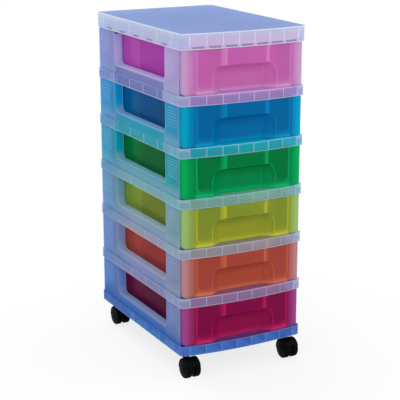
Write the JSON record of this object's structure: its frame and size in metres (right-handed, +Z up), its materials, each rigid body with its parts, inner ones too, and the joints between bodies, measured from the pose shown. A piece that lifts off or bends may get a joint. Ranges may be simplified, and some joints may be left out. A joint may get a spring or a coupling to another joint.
{
  "type": "drawer tower",
  "caption": "Free-standing tower of stacked see-through ribbed cases under a lid, with coloured translucent drawers, finger recesses and black twin-wheel castors.",
  "frame": {"origin": "on the floor, under the middle of the tower's own box", "axes": "-Y is the front that the drawers open to, +X is to the right of someone who faces +Y, +Z is up"},
  "size_m": [0.3, 0.4415, 0.7543],
  "materials": {
    "lid_plastic": "frosted translucent polypropylene with a fine satin grain",
    "case_plastic": "clear blue-tinted polypropylene, glossy with flow marks",
    "drawer_pink": "translucent pink polypropylene, glossy",
    "drawer_blue": "translucent blue polypropylene, glossy",
    "drawer_green": "translucent green polypropylene, glossy",
    "drawer_lime": "translucent lime polypropylene, glossy",
    "drawer_orange": "translucent orange polypropylene, glossy",
    "drawer_crimson": "translucent crimson polypropylene, glossy",
    "castor_plastic": "black nylon with a light satin sheen",
    "wheel_plastic": "black moulded wheel with a scuffed tread",
    "steel": "bright zinc plated",
    "ring_steel": "spring steel, dull"
  },
  "bodies": {
    "tower": {"top_lid": "lid_plastic", "case_1": "case_plastic", "case_2": "case_plastic", "case_3": "case_plastic", "case_4": "case_plastic", "case_5": "case_plastic", "case_6": "case_plastic", "front_left_stem": "steel", "front_left_ring": "ring_steel", "front_right_stem": "steel", "front_right_ring": "ring_steel", "back_left_stem": "steel", "back_left_ring": "ring_steel", "back_right_stem": "steel", "back_right_ring": "ring_steel"},
    "drawer_1": {"drawer_1": "drawer_pink"},
    "drawer_2": {"drawer_2": "drawer_blue"},
    "drawer_3": {"drawer_3": "drawer_green"},
    "drawer_4": {"drawer_4": "drawer_lime"},
    "drawer_5": {"drawer_5": "drawer_orange"},
    "drawer_6": {"drawer_6": "drawer_crimson"},
    "front_left_castor": {"front_left_hood": "castor_plastic", "front_left_axle": "steel"},
    "front_left_wheel_left": {"front_left_wheel_left": "wheel_plastic"},
    "front_left_wheel_right": {"front_left_wheel_right": "wheel_plastic"},
    "front_right_castor": {"front_right_hood": "castor_plastic", "front_right_axle": "steel"},
    "front_right_wheel_left": {"front_right_wheel_left": "wheel_plastic"},
    "front_right_wheel_right": {"front_right_wheel_right": "wheel_plastic"},
    "back_left_castor": {"back_left_hood": "castor_plastic", "back_left_axle": "steel"},
    "back_left_wheel_left": {"back_left_wheel_left": "wheel_plastic"},
    "back_left_wheel_right": {"back_left_wheel_right": "wheel_plastic"},
    "back_right_castor": {"back_right_hood": "castor_plastic", "back_right_axle": "steel"},
    "back_right_wheel_left": {"back_right_wheel_left": "wheel_plastic"},
    "back_right_wheel_right": {"back_right_wheel_right": "wheel_plastic"}
  },
  "joints": [
    {"name": "drawer_1_slide", "type": "slide", "parent": "tower", "child": "drawer_1", "axis": [0, -1, 0], "range_m": [0, 0.32]},
    {"name": "drawer_2_slide", "type": "slide", "parent": "tower", "child": "drawer_2", "axis": [0, -1, 0], "range_m": [0, 0.32]},
    {"name": "drawer_3_slide", "type": "slide", "parent": "tower", "child": "drawer_3", "axis": [0, -1, 0], "range_m": [0, 0.32]},
    {"name": "drawer_4_slide", "type": "slide", "parent": "tower", "child": "drawer_4", "axis": [0, -1, 0], "range_m": [0, 0.32]},
    {"name": "drawer_5_slide", "type": "slide", "parent": "tower", "child": "drawer_5", "axis": [0, -1, 0], "range_m": [0, 0.32]},
    {"name": "drawer_6_slide", "type": "slide", "parent": "tower", "child": "drawer_6", "axis": [0, -1, 0], "range_m": [0, 0.32]},
    {"name": "front_left_swivel", "type": "hinge", "parent": "tower", "child": "front_left_castor", "pos_m": [-0.1245, -0.17825, 0.045], "axis": [0, 0, 1], "continuous": true},
    {"name": "front_left_wheel_left_spin", "type": "hinge", "parent": "front_left_castor", "child": "front_left_wheel_left", "pos_m": [-0.1245, -0.19825, 0.021], "axis": [1, 0, 0], "continuous": true},
    {"name": "front_left_wheel_right_spin", "type": "hinge", "parent": "front_left_castor", "child": "front_left_wheel_right", "pos_m": [-0.1245, -0.19825, 0.021], "axis": [1, 0, 0], "continuous": true},
    {"name": "front_right_swivel", "type": "hinge", "parent": "tower", "child": "front_right_castor", "pos_m": [0.1245, -0.17825, 0.045], "axis": [0, 0, 1], "continuous": true},
    {"name": "front_right_wheel_left_spin", "type": "hinge", "parent": "front_right_castor", "child": "front_right_wheel_left", "pos_m": [0.1245, -0.19825, 0.021], "axis": [1, 0, 0], "continuous": true},
    {"name": "front_right_wheel_right_spin", "type": "hinge", "parent": "front_right_castor", "child": "front_right_wheel_right", "pos_m": [0.1245, -0.19825, 0.021], "axis": [1, 0, 0], "continuous": true},
    {"name": "back_left_swivel", "type": "hinge", "parent": "tower", "child": "back_left_castor", "pos_m": [-0.1245, 0.19175, 0.045], "axis": [0, 0, 1], "continuous": true},
    {"name": "back_left_wheel_left_spin", "type": "hinge", "parent": "back_left_castor", "child": "back_left_wheel_left", "pos_m": [-0.1245, 0.17175, 0.021], "axis": [1, 0, 0], "continuous": true},
    {"name": "back_left_wheel_right_spin", "type": "hinge", "parent": "back_left_castor", "child": "back_left_wheel_right", "pos_m": [-0.1245, 0.17175, 0.021], "axis": [1, 0, 0], "continuous": true},
    {"name": "back_right_swivel", "type": "hinge", "parent": "tower", "child": "back_right_castor", "pos_m": [0.1245, 0.19175, 0.045], "axis": [0, 0, 1], "continuous": true},
    {"name": "back_right_wheel_left_spin", "type": "hinge", "parent": "back_right_castor", "child": "back_right_wheel_left", "pos_m": [0.1245, 0.17175, 0.021], "axis": [1, 0, 0], "continuous": true},
    {"name": "back_right_wheel_right_spin", "type": "hinge", "parent": "back_right_castor", "child": "back_right_wheel_right", "pos_m": [0.1245, 0.17175, 0.021], "axis": [1, 0, 0], "continuous": true}
  ]
}
